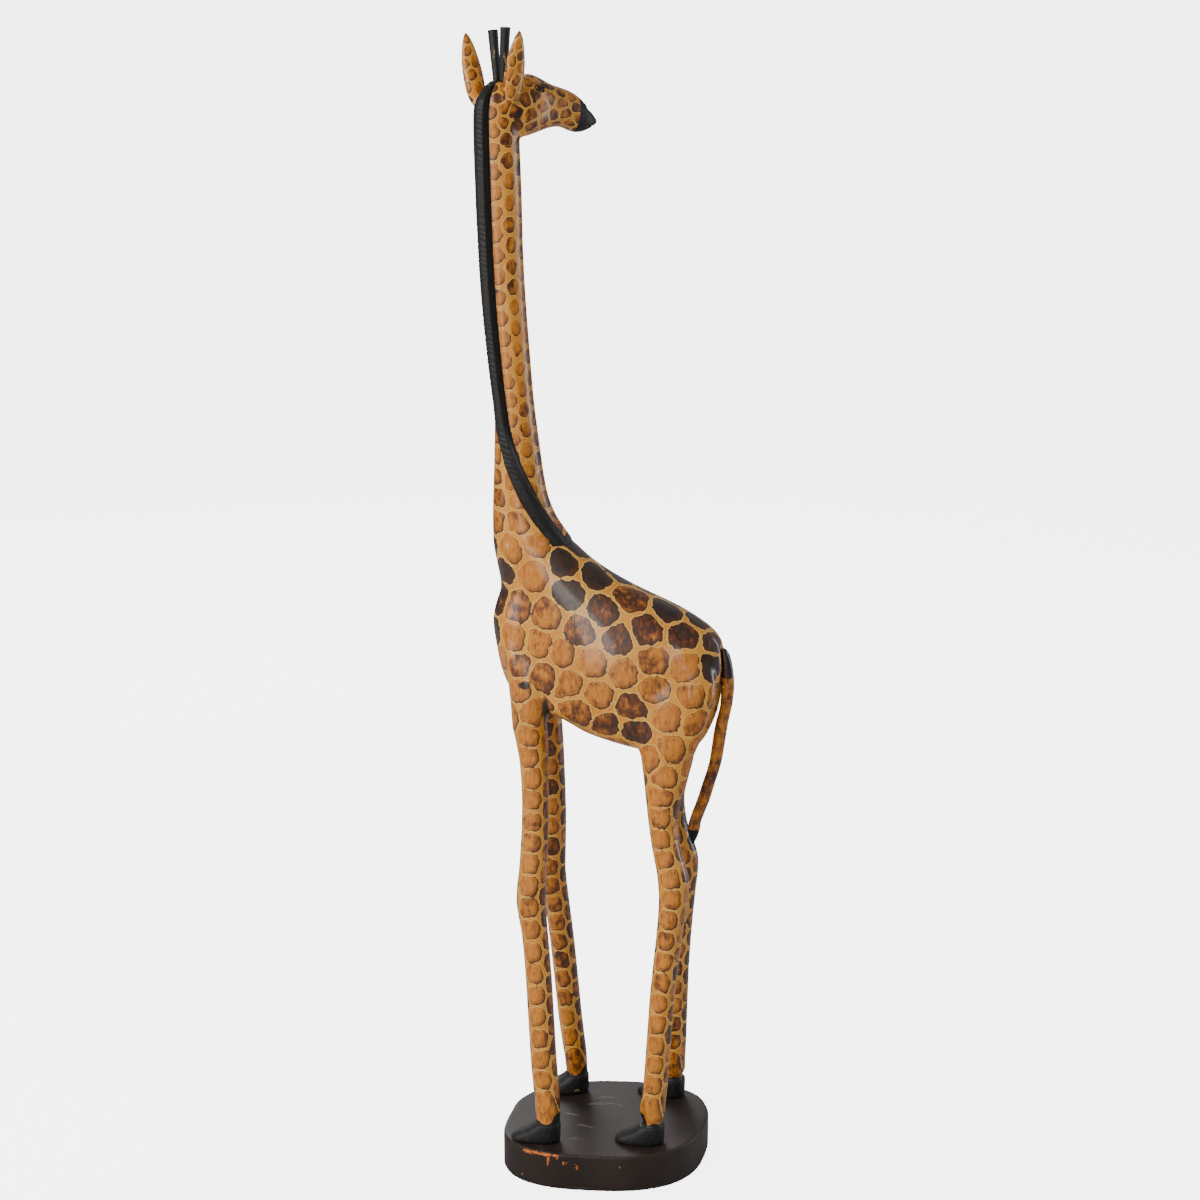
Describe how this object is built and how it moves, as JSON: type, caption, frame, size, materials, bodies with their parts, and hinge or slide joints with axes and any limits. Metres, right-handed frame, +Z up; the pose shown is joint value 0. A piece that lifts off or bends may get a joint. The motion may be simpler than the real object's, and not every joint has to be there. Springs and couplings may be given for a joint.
{
  "type": "carved giraffe statue",
  "caption": "Tall carved wooden giraffe with spotted lacquered body, spiralling black mane and head turned back, standing on an oval plinth.",
  "frame": {"origin": "centre of the plinth's underside, on the surface that the statue stands on", "axes": "+Z up along the statue; the giraffe's chest faces -X and its rump faces +X; its left side is -Y and its right side is +Y"},
  "size_m": [0.2868, 0.1966, 1.2003],
  "materials": {
    "spotted_wood": "golden softwood scorched and stained with brown spots, under gloss lacquer",
    "black_paint": "carved wood painted satin black, worn at the edges",
    "plinth_paint": "wood block painted satin dark brown, scuffed, chipped at the front edge",
    "dowel_wood": "plain turned hardwood, glued",
    "screw_steel": "plain zinc-plated steel"
  },
  "bodies": {
    "root": {"plinth": "plinth_paint", "hoof_fore_left": "black_paint", "hoof_fore_right": "black_paint", "hoof_hind_left": "black_paint", "hoof_hind_right": "black_paint", "foreleg_left": "spotted_wood", "foreleg_right": "spotted_wood", "hindleg_left": "spotted_wood", "hindleg_right": "spotted_wood", "torso": "spotted_wood", "neck": "spotted_wood", "mane": "black_paint", "head": "spotted_wood", "ear_left": "spotted_wood", "ear_right": "spotted_wood", "horn_left": "black_paint", "horn_right": "black_paint", "tail": "spotted_wood", "leg_dowels": "dowel_wood", "neck_dowel": "dowel_wood", "head_dowel": "dowel_wood", "tail_peg": "dowel_wood", "plinth_screws": "screw_steel"}
  },
  "joints": []
}
